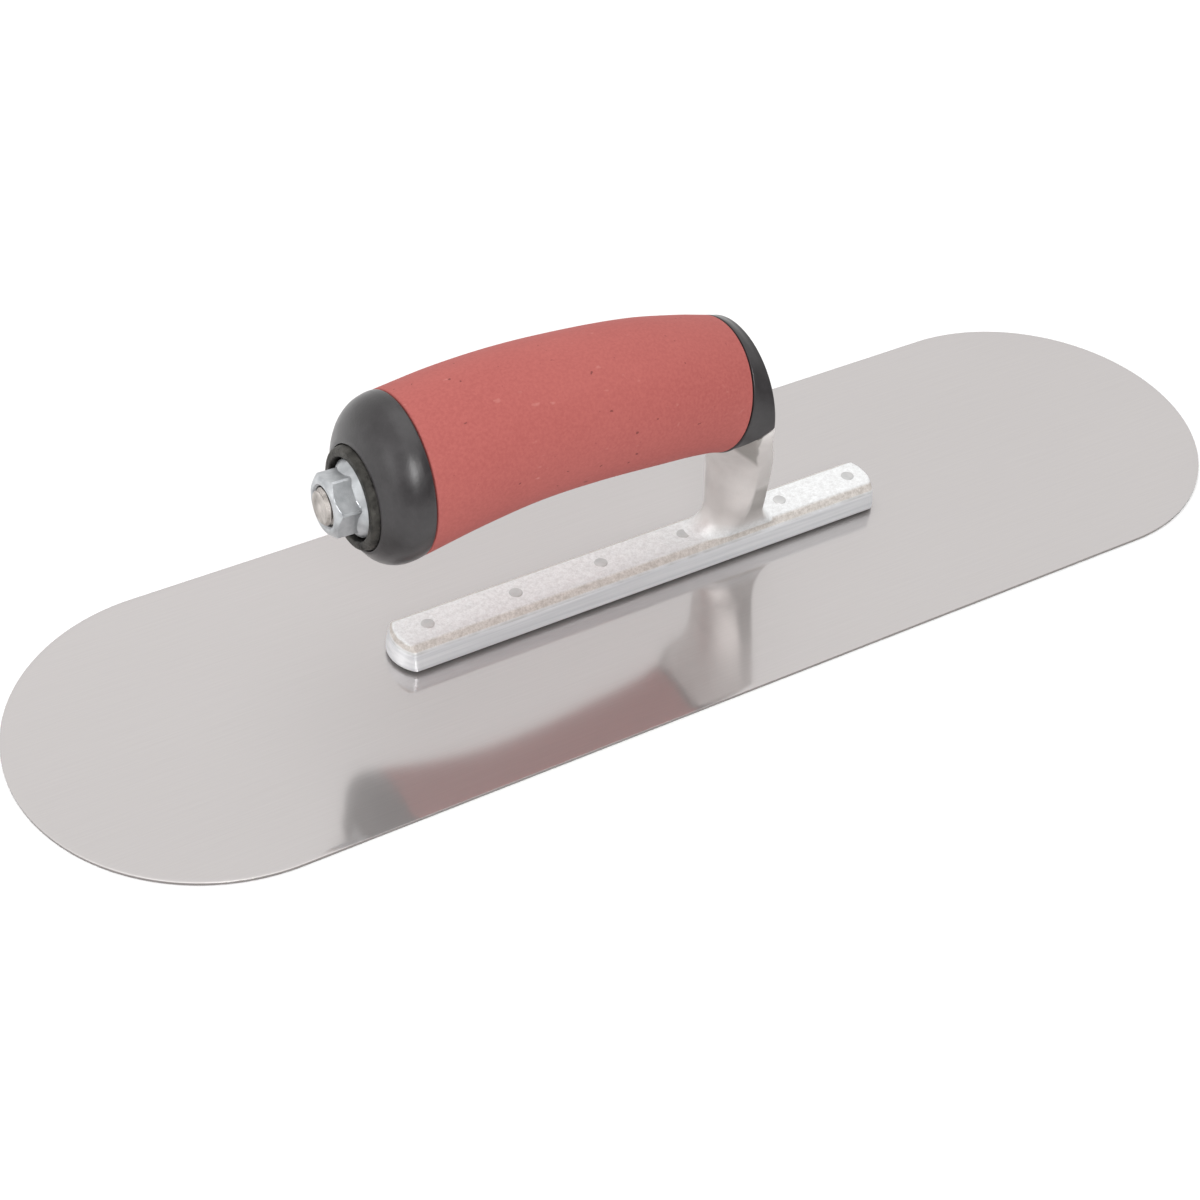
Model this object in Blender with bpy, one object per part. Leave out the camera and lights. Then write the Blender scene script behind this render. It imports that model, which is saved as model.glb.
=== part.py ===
"""A steel finishing trowel with round ends, as swimming-pool plasterers use.

Frame: the origin is the centre of the blade's underside, +Z is up, and +X runs along the blade towards the
toe, away from the nut that closes the handle.  Y = 0 is the trowel's plane of symmetry.  Metres throughout.

How it goes together: the spring-steel blade is riveted under a cast aluminium mounting.  The mounting is a
bar, a post that rises from the bar, and a square stub that points back from the post into the handle.  A
threaded rod is screwed into the stub, runs through the hard handle core, and a flange nut on a cup washer
pulls core and soft grip against the post.
"""

import math

import bmesh
import bpy
from mathutils import Matrix, Vector

MM = 0.001
GAP = 0.3 * MM  # left between two pieces that touch

# Blade: 14 x 4 inches, both ends fully round
BLADE_LENGTH = 355.6 * MM
BLADE_WIDTH = 101.6 * MM
BLADE_THICKNESS = 0.8 * MM
BLADE_END_SEGMENTS = 40

# Mounting bar, a little behind the blade's centre
BAR_LENGTH = 149.0 * MM
BAR_CENTRE_X = -4.0 * MM
BAR_END_RADIUS = 10.0 * MM
BAR_END_SEGMENTS = 8
BAR_BOTTOM = BLADE_THICKNESS + GAP
BAR_TOP = 9.2 * MM

# Rivets: four at one-inch pitch behind the post, two in front of it
RIVET_PITCH = 25.6 * MM
RIVET_X = [-67.8 * MM + i * RIVET_PITCH for i in range(4)] + [40.2 * MM, 63.0 * MM]
RIVET_RADIUS = 1.8 * MM
RIVET_HEAD_RADIUS = 2.9 * MM
RIVET_SEGMENTS = 16

# Handle axis: the rod's line, tilted down towards the toe
HANDLE_FRONT = Vector((19.3 * MM, 0.0, 54.2 * MM))
HANDLE_TILT = math.radians(2.15)

# Handle, measured backwards from its front face
HANDLE_LENGTH = 107.4 * MM
COLLAR_LENGTH = 7.0 * MM
GRIP_END = 96.5 * MM
GRIP_THICKNESS = 2.6 * MM
HANDLE_SEGMENTS = 36
GRIP_STEPS = 15

# Bevel that takes away the collar's lower front, where it sits on the casting's sloping shoulder.  Its line in
# the handle's frame runs back from the front face, down the slope, and then just in front of the grip's seam.
BEVEL_TOP = 0.6 * MM
BEVEL_BACK = (-7.6 * MM, -7.15 * MM)
BEVEL_FOOT = (-12.1 * MM, -40.0 * MM)

# Boss on the head's front, in line with the rod
BOSS_RADIUS = 13.0 * MM
BOSS_HEIGHT = 4.2 * MM

# Threaded rod, 3/8 inch, and the stub that holds it
ROD_RADIUS = 4.76 * MM
ROD_BEHIND = 116.6 * MM  # from the handle's front face to the rod's free end
ROD_IN_STUB = 18.0 * MM
STUB_LENGTH = 20.0 * MM
STUB_HALF = 7.0 * MM
ROD_SEGMENTS = 24

# Cup washer let into the butt of the handle
CUP_RADIUS = 12.9 * MM
CUP_RIM_RADIUS = 12.4 * MM
CUP_BORE_RADIUS = 10.3 * MM
CUP_FLOOR = 106.4 * MM  # where the nut seats, from the handle's front face
CUP_FLOOR_THICKNESS = 1.2 * MM
CUP_RIM = 109.2 * MM

# Flange nut, 3/8 inch: 9/16 inch across the flats
NUT_ACROSS_FLATS = 14.29 * MM
NUT_HEIGHT = 9.0 * MM
NUT_FLANGE_RADIUS = 9.7 * MM
NUT_FLANGE_EDGE = 1.3 * MM
NUT_TURN = math.radians(42.5)
NUT_SEGMENTS = 36

# Knots of the handle's skin: distance from the front face, rise above the rod's line, radius, lean in degrees
SKIN_KNOTS = [
    (0.0, 0.0, 19.3, 2.15),
    (2.5, 1.2, 18.5, -1.5),
    (7.0, 3.4, 17.5, -8.0),
    (16.0, 5.5, 17.8, -7.0),
    (29.5, 7.4, 18.6, -3.5),
    (47.0, 8.6, 19.0, 0.0),
    (64.5, 8.6, 19.4, 1.5),
    (81.0, 6.8, 20.0, 1.5),
    (96.5, 3.8, 20.5, 0.0),
]
# The butt of the core, from the grip's end to the flat around the cup washer
BUTT_KNOTS = [
    (96.5, 3.8, 20.5, 0.0),
    (98.6, 3.4, 20.6, 0.0),
    (101.3, 2.7, 20.2, 0.0),
    (103.8, 1.9, 18.9, 0.0),
    (105.6, 1.1, 17.0, 0.0),
    (106.8, 0.4, 14.9, 0.0),
    (107.4, 0.0, 13.7, 0.0),
]
BUTT_STATIONS = (98.0, 99.8, 101.3, 102.6, 103.8, 104.8, 105.6, 106.3, 106.9, 107.4)
# The boss's dome: (part of its height, part of its radius)
BOSS_DOME = [(0.0, 1.0), (0.35, 0.96), (0.65, 0.86), (0.85, 0.7), (0.96, 0.5), (1.0, 0.25)]
# Bar in cross-section: (half width, height, how far each end is drawn in)
BAR_LEVELS = [
    (6.9, BAR_BOTTOM / MM, 0.9),
    (7.8, BAR_BOTTOM / MM + 0.8, 0.0),
    (6.95, 7.1, 0.8),
    (6.5, 7.4, 1.3),
    (4.7, 9.0, 1.8),
    (4.1, BAR_TOP / MM, 2.4),
]
# Post in plan: height, x of the rounded spine, x of the side's rear edge, x of the front, half width
POST_LEVELS = [
    (6.0, 2.0, 15.5, 37.5, 5.6),
    (8.2, 6.5, 18.3, 35.2, 6.0),
    (9.8, 11.0, 20.6, 33.2, 6.1),
    (11.8, 14.4, 22.0, 31.4, 6.4),
    (14.5, 15.9, 22.7, 30.0, 7.1),
    (18.5, 16.3, 22.9, 29.0, 8.5),
    (23.0, 16.1, 23.3, 28.6, 9.4),
    (28.0, 15.8, 23.5, 28.4, 10.1),
    (32.0, 15.3, 23.2, 28.0, 10.8),
    (35.5, 14.2, 22.5, 27.4, 11.6),
    (38.0, 12.4, 21.6, 26.7, 12.5),
    (39.8, 10.7, 20.8, 25.9, 13.3),
    (41.5, 10.0, 19.9, 25.0, 14.3),
    (44.5, 9.9, 17.9, 23.0, 16.3),
    (48.0, 10.2, 16.2, 21.4, 18.0),
    (51.5, 11.0, 15.6, 20.5, 18.9),
    (54.8, 12.0, 15.5, 20.2, 19.2),
]
POST_ARC_STEPS = 12


def clear_scene():
    """Removes every object, so that the script can be run again in an open file."""
    for item in list(bpy.data.objects):
        bpy.data.objects.remove(item, do_unlink=True)


def make_material(name, colour, roughness, metallic):
    material = bpy.data.materials.new(name)
    material.use_nodes = True
    shader = material.node_tree.nodes["Principled BSDF"]
    shader.inputs["Base Color"].default_value = (*colour, 1.0)
    shader.inputs["Roughness"].default_value = roughness
    shader.inputs["Metallic"].default_value = metallic
    return material


def make_object(name, mesh_builder, material=None, parent=None):
    """A named object from a bmesh, with its faces turned outwards and its round faces shaded smooth."""
    bmesh.ops.remove_doubles(mesh_builder, verts=mesh_builder.verts, dist=0.001 * MM)
    bmesh.ops.recalc_face_normals(mesh_builder, faces=mesh_builder.faces)
    mesh = bpy.data.meshes.new(name)
    mesh_builder.to_mesh(mesh)
    mesh_builder.free()
    mesh.shade_smooth()
    mesh.set_sharp_from_angle(angle=math.radians(35))
    item = bpy.data.objects.new(name, mesh)
    bpy.context.scene.collection.objects.link(item)
    if material:
        mesh.materials.append(material)
    if parent:
        item.parent = parent
    return item


def loft(rings, closed=False):
    """A bmesh skin through rings of points, all with the same count.  A closed loft joins the last ring to
    the first, as for a tube with a wall, and an open one gets a flat cap at each end."""
    builder = bmesh.new()
    rows = [[builder.verts.new(point) for point in ring] for ring in rings]
    pairs = list(zip(rows, rows[1:]))
    if closed:
        pairs.append((rows[-1], rows[0]))
    for lower, upper in pairs:
        for i in range(len(lower)):
            j = (i + 1) % len(lower)
            builder.faces.new((lower[i], lower[j], upper[j], upper[i]))
    if not closed:
        builder.faces.new(rows[0])
        builder.faces.new(rows[-1])
    return builder


def turned(profile, segments, closed=False):
    """A body of revolution about local X from (x, radius) pairs."""
    rings = []
    for x, radius in profile:
        angles = [2 * math.pi * i / segments for i in range(segments)]
        rings.append([Vector((x, radius * math.cos(a), radius * math.sin(a))) for a in angles])
    return loft(rings, closed)


def cutter_object(name, mesh_builder, parent=None):
    """A helper that only cuts: it isn't rendered and isn't a part of the trowel."""
    item = make_object(name, mesh_builder, parent=parent)
    item.hide_render = True
    item.display_type = "WIRE"
    return item


def add_boolean(item, other, operation):
    modifier = item.modifiers.new(f"{operation.lower()} {other.name}", "BOOLEAN")
    modifier.operation = operation
    modifier.object = other
    modifier.solver = "EXACT"


def interpolate(knots, at):
    """Smooth values between knots, by a cubic through each pair with slopes from their neighbours."""
    at = min(max(at, knots[0][0]), knots[-1][0])
    i = max(k for k in range(len(knots) - 1) if knots[k][0] <= at)
    start, end = knots[i], knots[i + 1]
    before, after = knots[max(i - 1, 0)], knots[min(i + 2, len(knots) - 1)]
    span = end[0] - start[0]
    t = (at - start[0]) / span
    values = []
    for k in range(1, len(start)):
        slope_in = (end[k] - before[k]) / (end[0] - before[0]) * span
        slope_out = (after[k] - start[k]) / (after[0] - start[0]) * span
        values.append(
            (2 * t**3 - 3 * t**2 + 1) * start[k]
            + (t**3 - 2 * t**2 + t) * slope_in
            + (3 * t**2 - 2 * t**3) * end[k]
            + (t**3 - t**2) * slope_out
        )
    return values


def section(behind, rise, radius, lean, square=0.0):
    """One ring of the handle, in its own frame, where X runs forwards and the front face is at 0.  All in
    millimetres and degrees.  square 0 is a circle, and 1 a square with its corners rounded."""
    lean = math.radians(lean)
    power = 2.0 / (2.0 + 6.0 * square)
    ring = []
    for i in range(HANDLE_SEGMENTS):
        a = 2 * math.pi * (i + 0.5) / HANDLE_SEGMENTS
        y = radius * math.copysign(abs(math.cos(a)) ** power, math.cos(a))
        z = radius * math.copysign(abs(math.sin(a)) ** power, math.sin(a))
        ring.append(Vector((-behind - z * math.sin(lean), y, rise + z * math.cos(lean))) * MM)
    return ring


def skin(behind, inset=0.0, shift=0.0):
    """A ring of the handle's skin at that distance from the front, drawn in by inset, moved back by shift."""
    rise, radius, lean = interpolate(SKIN_KNOTS, behind)
    return section(behind + shift, rise, radius - inset, lean)


def butt(behind):
    rise, radius, lean = interpolate(BUTT_KNOTS, behind)
    return section(behind, rise, radius, lean)


def grip_stations():
    start, end = COLLAR_LENGTH / MM, GRIP_END / MM
    return [start + (end - start) * i / GRIP_STEPS for i in range(GRIP_STEPS + 1)]


def stadium(length, width, segments):
    """The outline of a strip with fully round ends, anticlockwise from its lower right."""
    points = []
    for end in (1, -1):
        for i in range(segments + 1):
            a = math.pi * (i / segments - 0.5)
            x = end * ((length - width) / 2 + width / 2 * math.cos(a))
            points.append((x, end * width / 2 * math.sin(a)))
    return points


def bar_outline(half_width, drawn_in, height):
    """The bar in plan at one height: straight sides, and ends that are arcs wider than the bar."""
    points = []
    reach = math.asin(half_width / (BAR_END_RADIUS / MM))
    tip = BAR_LENGTH / MM / 2 - drawn_in
    for end in (1, -1):
        for i in range(BAR_END_SEGMENTS + 1):
            a = reach * (2 * i / BAR_END_SEGMENTS - 1)
            x = end * (tip - BAR_END_RADIUS / MM * (1 - math.cos(a)))
            y = end * BAR_END_RADIUS / MM * math.sin(a)
            points.append(Vector((BAR_CENTRE_X + x * MM, y * MM, height * MM)))
    return points


def post_outline(height, spine, edge, front, half_width):
    """The post in plan at one height: a flat front, narrow flat sides, and a rounded finger side."""
    corner = min(1.0, half_width / 3)
    points = [
        (front, half_width - corner),
        (front - corner, half_width),
    ]
    for i in range(POST_ARC_STEPS + 1):
        across = 1 - 2 * i / POST_ARC_STEPS
        points.append((edge - (edge - spine) * (1 - abs(across) ** 2.4), half_width * across))
    points += [
        (front - corner, -half_width),
        (front, -half_width + corner),
    ]
    return [Vector((x, y, height)) * MM for x, y in points]


def make_handle_frame():
    """The empty that carries the handle: its X axis is the rod's line."""
    frame = bpy.data.objects.new("handle_frame", None)
    frame.location = HANDLE_FRONT
    frame.rotation_euler = (0.0, HANDLE_TILT, 0.0)
    bpy.context.scene.collection.objects.link(frame)
    return frame


def make_blade(material):
    outline = stadium(BLADE_LENGTH, BLADE_WIDTH, BLADE_END_SEGMENTS)
    rings = [[Vector((x, y, z)) for x, y in outline] for z in (0.0, BLADE_THICKNESS)]
    blade = make_object("blade", loft(rings), material)
    for number, x in enumerate(RIVET_X, 1):
        add_boolean(blade, make_rivet_cutter(f"blade_rivet_cutter_{number}", x), "DIFFERENCE")
    return blade


def rivet_profile(extra, overrun):
    """A rivet's (height, radius) pairs: a countersunk head in the blade and a shank through the bar."""
    return [
        (-overrun, RIVET_HEAD_RADIUS + extra),
        (0.0, RIVET_HEAD_RADIUS + extra),
        (BLADE_THICKNESS, RIVET_RADIUS + extra),
        (BAR_TOP + overrun, RIVET_RADIUS + extra),
    ]


def upright(builder, x):
    """Turns a body about X into one about Z and sets it on the bar's centre line at x."""
    turn = Matrix.Translation((x, 0.0, 0.0)) @ Matrix.Rotation(-math.pi / 2, 4, "Y")
    bmesh.ops.transform(builder, matrix=turn, verts=builder.verts)
    return builder


def make_rivet_cutter(name, x):
    profile = rivet_profile(GAP, 1.0 * MM)
    return cutter_object(name, upright(turned(profile, RIVET_SEGMENTS), x))


def make_rivet(number, x, material):
    profile = rivet_profile(0.0, 0.0)[1:]
    return make_object(f"blade_rivet_{number}", upright(turned(profile, RIVET_SEGMENTS), x), material)


def make_mounting(material, frame):
    """The casting: bar, post, boss and stub in one piece, less the handle's bed, the rod's hole and the
    rivet holes."""
    bar_rings = [bar_outline(w, drawn_in, z) for w, z, drawn_in in BAR_LEVELS]
    mounting = make_object("mounting_casting", loft(bar_rings), material)
    post_rings = [post_outline(*level) for level in POST_LEVELS]
    add_boolean(mounting, cutter_object("post_helper", loft(post_rings)), "UNION")
    boss = [(-1.0 * MM, BOSS_RADIUS)]
    boss += [(BOSS_HEIGHT * rise, BOSS_RADIUS * part) for rise, part in BOSS_DOME]
    add_boolean(mounting, cutter_object("boss_helper", turned(boss, HANDLE_SEGMENTS), frame), "UNION")
    add_boolean(mounting, make_handle_bed(frame), "DIFFERENCE")
    stub_rings = [section(x, 0.0, STUB_HALF / MM, 0.0, 1.0) for x in (-2.5, STUB_LENGTH / MM)]
    add_boolean(mounting, cutter_object("stub_helper", loft(stub_rings), frame), "UNION")
    rod_hole = [(0.5 * MM + GAP, ROD_RADIUS + GAP), (-STUB_LENGTH - 1.0 * MM, ROD_RADIUS + GAP)]
    hole_cutter = cutter_object("rod_hole_cutter", turned(rod_hole, ROD_SEGMENTS), frame)
    add_boolean(mounting, hole_cutter, "DIFFERENCE")
    for number, x in enumerate(RIVET_X, 1):
        cutter = make_rivet_cutter(f"bar_rivet_cutter_{number}", x)
        add_boolean(mounting, cutter, "DIFFERENCE")
    return mounting


def make_handle_bed(frame):
    """The bevelled handle's front, a gap larger all round: what it cuts from the post is the handle's bed."""
    clearance = GAP / MM
    rings = [skin(0.0, -clearance, -clearance)]
    rings += [skin(behind, -clearance) for behind in (1.2, 2.5, 4.5, 7.0, 11.0, 16.0, 22.0)]
    bed = cutter_object("handle_bed_cutter", loft(rings), frame)
    add_boolean(bed, make_bevel("bed_bevel_helper", frame, 0.0), "DIFFERENCE")
    return bed


def make_bevel(name, frame, clearance):
    """A block under the bevel's line and in front of it, a clearance larger than the shoulder that fills it."""
    front = 12.0 * MM
    corner = 0.414 * clearance
    side = [
        (front, BEVEL_TOP + clearance),
        (-corner, BEVEL_TOP + clearance),
        (BEVEL_BACK[0] - clearance, BEVEL_BACK[1] + corner),
        (BEVEL_FOOT[0] - clearance, BEVEL_FOOT[1]),
        (front, BEVEL_FOOT[1]),
    ]
    rings = [[Vector((x, y, z)) for x, z in side] for y in (-40.0 * MM, 40.0 * MM)]
    return cutter_object(name, loft(rings), frame)


def make_rod(material, frame):
    chamfer = 0.8 * MM
    inner = ROD_IN_STUB - STUB_LENGTH
    profile = [
        (inner, ROD_RADIUS - chamfer),
        (inner - chamfer, ROD_RADIUS),
        (chamfer - ROD_BEHIND, ROD_RADIUS),
        (-ROD_BEHIND, ROD_RADIUS - chamfer),
    ]
    return make_object("threaded_rod", turned(profile, ROD_SEGMENTS), material, frame)


def make_core(material, frame):
    """The hard core: collar, groove for the grip, butt, and the bores for cup washer, rod and stub."""
    shoulder = 0.5 * GAP / MM
    groove = GRIP_THICKNESS / MM + GAP / MM
    clearance = GAP / MM
    stations = grip_stations()
    rings = [skin(behind) for behind in (0.0, 1.2, 2.5, 4.5)]
    rings.append(skin(stations[0], 0.0, -shoulder))
    rings.append(skin(stations[0], groove, -shoulder))
    rings += [skin(behind, groove) for behind in stations[1:-1]]
    rings.append(skin(stations[-1], groove, shoulder))
    rings.append(skin(stations[-1], 0.0, shoulder))
    rings += [butt(behind) for behind in BUTT_STATIONS]
    cup_seat = (CUP_FLOOR - CUP_FLOOR_THICKNESS) / MM - clearance
    stub_seat = STUB_LENGTH / MM + clearance
    rings.append(section(HANDLE_LENGTH / MM, 0.0, CUP_RADIUS / MM + clearance, 0.0))
    rings.append(section(cup_seat, 0.0, CUP_RADIUS / MM + clearance, 0.0))
    rings.append(section(cup_seat, 0.0, ROD_RADIUS / MM + clearance, 0.0))
    rings.append(section(stub_seat, 0.0, ROD_RADIUS / MM + clearance, 0.0))
    rings.append(section(stub_seat, 0.0, STUB_HALF / MM + clearance, 0.0, 1.0))
    rings.append(section(0.0, 0.0, STUB_HALF / MM + clearance, 0.0, 1.0))
    core = make_object("handle_core", loft(rings, closed=True), material, frame)
    add_boolean(core, make_bevel("collar_bevel_cutter", frame, GAP), "DIFFERENCE")
    return core


def make_grip(material, frame):
    """The soft grip moulded round the core's groove: the handle's skin outside, the groove inside."""
    stations = grip_stations()
    shift = 0.5 * GAP / MM
    shifts = [shift] + [0.0] * (len(stations) - 2) + [-shift]
    outer = [skin(behind, 0.0, moved) for behind, moved in zip(stations, shifts)]
    inner = [skin(behind, GRIP_THICKNESS / MM, moved) for behind, moved in zip(stations, shifts)]
    return make_object("grip_sleeve", loft(outer + inner[::-1], closed=True), material, frame)


def make_cup_washer(material, frame):
    rim_round = 0.5 * MM
    bore = ROD_RADIUS + GAP
    profile = [
        (CUP_FLOOR_THICKNESS - CUP_FLOOR, bore),
        (CUP_FLOOR_THICKNESS - CUP_FLOOR, CUP_RADIUS),
        (-HANDLE_LENGTH, CUP_RADIUS),
        (rim_round - CUP_RIM, CUP_RIM_RADIUS),
        (-CUP_RIM, CUP_RIM_RADIUS - rim_round),
        (-CUP_RIM, CUP_BORE_RADIUS + rim_round),
        (rim_round - CUP_RIM, CUP_BORE_RADIUS),
        (-CUP_FLOOR, CUP_BORE_RADIUS),
        (-CUP_FLOOR, bore),
    ]
    return make_object("cup_washer", turned(profile, NUT_SEGMENTS, closed=True), material, frame)


def make_nut(material, frame):
    """The flange nut: a chamfered hexagon on a conical flange, bored for the rod."""
    seat = -CUP_FLOOR - GAP
    top = seat - NUT_HEIGHT
    corner = NUT_ACROSS_FLATS / math.sqrt(3)
    flange_top = seat - 3.4 * MM
    flange = [
        (seat, NUT_FLANGE_RADIUS - 0.4 * MM),
        (seat - 0.4 * MM, NUT_FLANGE_RADIUS),
        (seat - NUT_FLANGE_EDGE, NUT_FLANGE_RADIUS),
        (flange_top, NUT_ACROSS_FLATS / 2 - 0.2 * MM),
    ]
    nut = make_object("flange_nut", turned(flange, NUT_SEGMENTS), material, frame)
    hexagon = []
    for x in (seat - 1.0 * MM, top):
        angles = [NUT_TURN + math.pi * i / 3 for i in range(6)]
        hexagon.append([Vector((x, corner * math.cos(a), corner * math.sin(a))) for a in angles])
    head = cutter_object("nut_hexagon_helper", loft(hexagon), frame)
    chamfer = [
        (seat, corner + 0.5 * MM),
        (top + 1.3 * MM, corner + 0.5 * MM),
        (top - 0.01 * MM, NUT_ACROSS_FLATS / 2 - 0.3 * MM),
    ]
    chamfer_tool = cutter_object("nut_chamfer_helper", turned(chamfer, NUT_SEGMENTS), frame)
    add_boolean(head, chamfer_tool, "INTERSECT")
    add_boolean(nut, head, "UNION")
    bore = [(seat + 1.0 * MM, ROD_RADIUS + GAP), (top - 1.0 * MM, ROD_RADIUS + GAP)]
    bore_tool = cutter_object("nut_bore_cutter", turned(bore, ROD_SEGMENTS), frame)
    add_boolean(nut, bore_tool, "DIFFERENCE")
    return nut


def main():
    clear_scene()
    steel = make_material("blade_steel", (0.72, 0.71, 0.70), 0.22, 1.0)
    rivet_steel = make_material("rivet_steel", (0.58, 0.58, 0.58), 0.4, 1.0)
    aluminium = make_material("cast_aluminium", (0.80, 0.79, 0.77), 0.45, 1.0)
    zinc = make_material("zinc_plated_steel", (0.74, 0.75, 0.76), 0.28, 1.0)
    rod_steel = make_material("rod_steel", (0.62, 0.60, 0.58), 0.4, 1.0)
    black_steel = make_material("black_steel", (0.07, 0.065, 0.06), 0.5, 0.6)
    hard_plastic = make_material("hard_black_plastic", (0.06, 0.06, 0.06), 0.4, 0.0)
    soft_rubber = make_material("soft_red_rubber", (0.50, 0.13, 0.12), 0.6, 0.0)
    frame = make_handle_frame()
    make_blade(steel)
    make_mounting(aluminium, frame)
    for number, x in enumerate(RIVET_X, 1):
        make_rivet(number, x, rivet_steel)
    make_rod(rod_steel, frame)
    make_core(hard_plastic, frame)
    make_grip(soft_rubber, frame)
    make_cup_washer(black_steel, frame)
    make_nut(zinc, frame)


main()
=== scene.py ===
# %% [markdown]
# # A steel finishing trowel
#
# This is the long trowel with round ends that pool plasterers use to polish wet plaster.  A thin
# spring-steel blade is riveted under a cast aluminium mounting.  The mounting's post carries a curved
# handle: a hard black core, a soft red grip round it, and a flange nut on a rod that pulls everything
# together.
#
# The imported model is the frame.  The pieces below stand in for its nodes, at the same places and sizes but
# with finer surfaces: eased edges, fillets, a thread and a worn finish.

import math

import bpy
import numpy as np
from mathutils import Matrix, Vector


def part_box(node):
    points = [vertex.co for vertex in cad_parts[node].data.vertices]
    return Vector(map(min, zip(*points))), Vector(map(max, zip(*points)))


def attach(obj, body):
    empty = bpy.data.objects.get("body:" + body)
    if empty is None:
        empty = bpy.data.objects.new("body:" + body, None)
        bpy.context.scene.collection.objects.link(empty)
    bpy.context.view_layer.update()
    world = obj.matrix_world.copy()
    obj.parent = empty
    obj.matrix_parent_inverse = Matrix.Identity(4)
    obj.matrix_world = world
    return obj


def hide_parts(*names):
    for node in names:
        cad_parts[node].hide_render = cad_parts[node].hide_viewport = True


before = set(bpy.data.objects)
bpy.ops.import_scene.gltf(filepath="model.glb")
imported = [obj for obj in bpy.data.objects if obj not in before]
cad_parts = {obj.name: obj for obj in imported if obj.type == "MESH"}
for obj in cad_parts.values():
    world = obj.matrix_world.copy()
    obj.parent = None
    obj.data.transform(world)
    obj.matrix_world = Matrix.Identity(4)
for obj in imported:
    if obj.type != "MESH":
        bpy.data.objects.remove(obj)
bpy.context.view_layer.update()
MM = 0.001

# %% [markdown]
# ## Places taken from the frame
#
# The rod's line runs through the whole handle, a little lower at the post than at the nut.  It is given by
# its tilt and by the centre of the collar's front face, and everything on the handle is then placed along
# it.  The boxes of three nodes on that line are printed, to compare with.

# %% The handle's axis
HANDLE_TILT = math.radians(2.15)  # the rod dips towards the toe
FRONT = np.array([19.3, 0.0, 54.2])  # the centre of the collar's front face
AXIS = np.array([math.cos(HANDLE_TILT), 0.0, -math.sin(HANDLE_TILT)])
RISE = np.array([math.sin(HANDLE_TILT), 0.0, math.cos(HANDLE_TILT)])
ACROSS = np.array([0.0, 1.0, 0.0])

for node in ("threaded_rod", "flange_nut", "cup_washer"):
    low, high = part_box(node)
    print(f"{node}: x from {low[0] / MM:.1f} to {high[0] / MM:.1f} mm")


def from_handle(along, across, up):
    """Points in the frame's axes, mm: the front face's centre, plus each distance times its own axis."""
    along, across, up = np.broadcast_arrays(along, across, up)
    return FRONT + along[..., None] * AXIS + across[..., None] * ACROSS + up[..., None] * RISE


# %% [markdown]
# ## Grids into meshes
#
# A surface here is an array of points with two directions: rows run along the piece, and columns run round
# it.  Joining each point to its neighbours gives quads, all made at once with index arithmetic.  A ring
# that shrinks to the axis would leave a hole or a pile of doubled points, so the ends are closed with one
# face instead.

# %% From a grid to an object
def grid_mesh(name, grid, wrap=True, rows_wrap=False):
    """A mesh through a grid of points in mm: quad (r, c) joins rows r and r + 1 and columns c and c + 1.  The
    columns close on themselves with wrap, and the rows with rows_wrap; otherwise each end row is one face."""
    rows, columns = grid.shape[:2]
    r = np.arange(rows if rows_wrap else rows - 1)[:, None]
    c = np.arange(columns if wrap else columns - 1)[None, :]
    r_next, c_next = (r + 1) % rows, (c + 1) % columns
    this_row, next_row = r * columns, r_next * columns
    quads = np.stack([this_row + c, this_row + c_next, next_row + c_next, next_row + c], -1)
    faces = quads.reshape(-1, 4).tolist()
    if not rows_wrap:
        faces.append(list(range(columns))[::-1])
        faces.append([(rows - 1) * columns + i for i in range(columns)])
    mesh = bpy.data.meshes.new(name)
    mesh.from_pydata((grid.reshape(-1, 3) * MM).tolist(), [], faces)
    mesh.update()
    return mesh


def outward(mesh):
    """Turns a closed mesh's faces outwards: the signed volume of a mesh that is inside out is negative."""
    mesh.calc_loop_triangles()
    points = np.empty(len(mesh.vertices) * 3)
    mesh.vertices.foreach_get("co", points)
    corners = np.empty(len(mesh.loop_triangles) * 3, np.int32)
    mesh.loop_triangles.foreach_get("vertices", corners)
    triangle = points.reshape(-1, 3)[corners.reshape(-1, 3)]
    if np.linalg.det(triangle).sum() < 0:
        mesh.flip_normals()


def piece(name, mesh, material, slot, *nodes, sharp=35):
    """A finished piece on the frame: smooth but for edges sharper than sharp degrees, and standing for those
    nodes."""
    outward(mesh)
    mesh.shade_smooth()
    mesh.set_sharp_from_angle(angle=math.radians(sharp))
    mesh.materials.append(material)
    made = bpy.data.objects.new(name, mesh)
    bpy.context.scene.collection.objects.link(made)
    if nodes:
        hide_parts(*nodes)
    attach(made, "root")
    print(f"{name}: {len(mesh.polygons)} faces")


# %% Rounding the corners of a profile
def rounded(profile, radii, steps=5):
    """A profile with its corners rounded: each corner becomes a quadratic curve that starts radius before it
    and ends radius after it, (1 - t)^2 start + 2 t (1 - t) corner + t^2 end."""
    points = np.asarray(profile, float)
    made = [points[0]]
    t = np.linspace(0.0, 1.0, steps)[:, None]
    for before, corner, after, radius in zip(points, points[1:], points[2:], radii):
        if radius == 0:
            made.append(corner)
            continue
        start = corner + (before - corner) / np.linalg.norm(before - corner) * radius
        end = corner + (after - corner) / np.linalg.norm(after - corner) * radius
        made.extend((1 - t) ** 2 * start + 2 * t * (1 - t) * corner + t**2 * end)
    made.append(points[-1])
    return np.array(made)


def turned(profile, columns):
    """A grid round the rod's line from (along, radius) pairs: across = radius cos a, up = radius sin a."""
    along, radius = np.asarray(profile, float).T
    angle = np.linspace(0.0, 2 * np.pi, columns, endpoint=False)
    return from_handle(along[:, None], radius[:, None] * np.cos(angle), radius[:, None] * np.sin(angle))


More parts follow.
